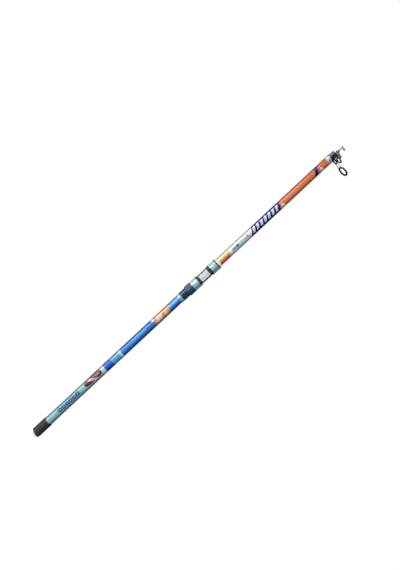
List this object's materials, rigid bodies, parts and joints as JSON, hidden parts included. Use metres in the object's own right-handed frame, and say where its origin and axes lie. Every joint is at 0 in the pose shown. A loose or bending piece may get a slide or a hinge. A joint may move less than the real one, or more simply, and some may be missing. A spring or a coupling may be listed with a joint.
{
  "type": "surf rod",
  "caption": "Telescopic surf casting rod, collapsed: tapered tube sections that slide into each other, a screw reel seat with a plate and hoods, barrel line guides and a screw butt plug.",
  "frame": {"origin": "On the rod's axis at the flat butt end.", "axes": "+X runs along the rod from the butt to the tip, +Z is the side of the reel seat that takes the reel's foot, and the line guides stand out in -Y."},
  "size_m": [1.2035, 0.0856, 0.0372],
  "materials": {
    "blue_paint": "glossy printed lacquer over a composite tube",
    "dark_blank": "lacquered carbon composite",
    "rubber": "matt moulded",
    "turned_metal": "turned and anodised",
    "seat_plastic": "moulded, satin",
    "hood_steel": "bright pressed sheet",
    "plate_silver": "satin plate",
    "pale_trim": "satin silver",
    "guide_black": "black coated wire and barrel",
    "ring_black": "polished",
    "tip_grey": "satin wire and tube"
  },
  "bodies": {
    "handle": {"butt_tube": "blue_paint", "mouth_collar": "turned_metal", "butt_sleeve": "rubber", "butt_bush": "turned_metal", "rear_trim_ring": "pale_trim", "front_trim_ring": "pale_trim", "reel_seat_body": "seat_plastic", "foot_plate": "plate_silver", "fixed_hood": "seat_plastic", "hood_flange": "seat_plastic", "fixed_hood_cover": "hood_steel"},
    "moving_hood": {"moving_hood": "seat_plastic", "moving_hood_cover": "hood_steel"},
    "lock_nut": {"lock_nut": "seat_plastic"},
    "butt_pad": {"butt_pad": "rubber"},
    "butt_plug": {"butt_plug": "turned_metal"},
    "section_2": {"section_2_tube": "dark_blank", "section_2_end_ring": "turned_metal", "guide_1_frame": "guide_black", "guide_1_ring": "ring_black"},
    "section_3": {"section_3_tube": "dark_blank", "section_3_end_ring": "turned_metal", "guide_2_frame": "guide_black", "guide_2_ring": "ring_black"},
    "tip_section": {"tip_section_tube": "dark_blank", "tip_top_frame": "tip_grey", "tip_top_ring": "ring_black"},
    "float_guide": {"float_guide_frame": "guide_black", "float_guide_ring": "ring_black"}
  },
  "joints": [
    {"name": "hood_slide", "type": "slide", "parent": "handle", "child": "moving_hood", "axis": [1, 0, 0], "range_m": [-0.02, 0.0025]},
    {"name": "nut_turn", "type": "hinge", "parent": "moving_hood", "child": "lock_nut", "pos_m": [0.5885, 0, 0], "axis": [1, 0, 0], "range_deg": [-2880, 360]},
    {"name": "pad_slide", "type": "slide", "parent": "handle", "child": "butt_pad", "axis": [1, 0, 0], "range_m": [-0.011, 0]},
    {"name": "plug_turn", "type": "hinge", "parent": "butt_pad", "child": "butt_plug", "pos_m": [0, 0, 0], "axis": [1, 0, 0], "range_deg": [-1980, 0]},
    {"name": "section_2_slide", "type": "slide", "parent": "handle", "child": "section_2", "axis": [1, 0, 0], "range_m": [0, 0.9985]},
    {"name": "section_3_slide", "type": "slide", "parent": "section_2", "child": "section_3", "axis": [1, 0, 0], "range_m": [0, 0.9985]},
    {"name": "tip_slide", "type": "slide", "parent": "section_3", "child": "tip_section", "axis": [1, 0, 0], "range_m": [0, 0.9985]},
    {"name": "float_guide_slide", "type": "slide", "parent": "tip_section", "child": "float_guide", "axis": [1, 0, 0], "range_m": [-0.4995, 0]}
  ],
  "couplings": [
    {"joint": "hood_slide", "follows": "nut_turn", "m_per_rad": 0.00039789},
    {"joint": "pad_slide", "follows": "plug_turn", "m_per_rad": 0.00031831},
    {"joint": "float_guide_slide", "follows": "tip_slide", "ratio": -0.49975}
  ]
}
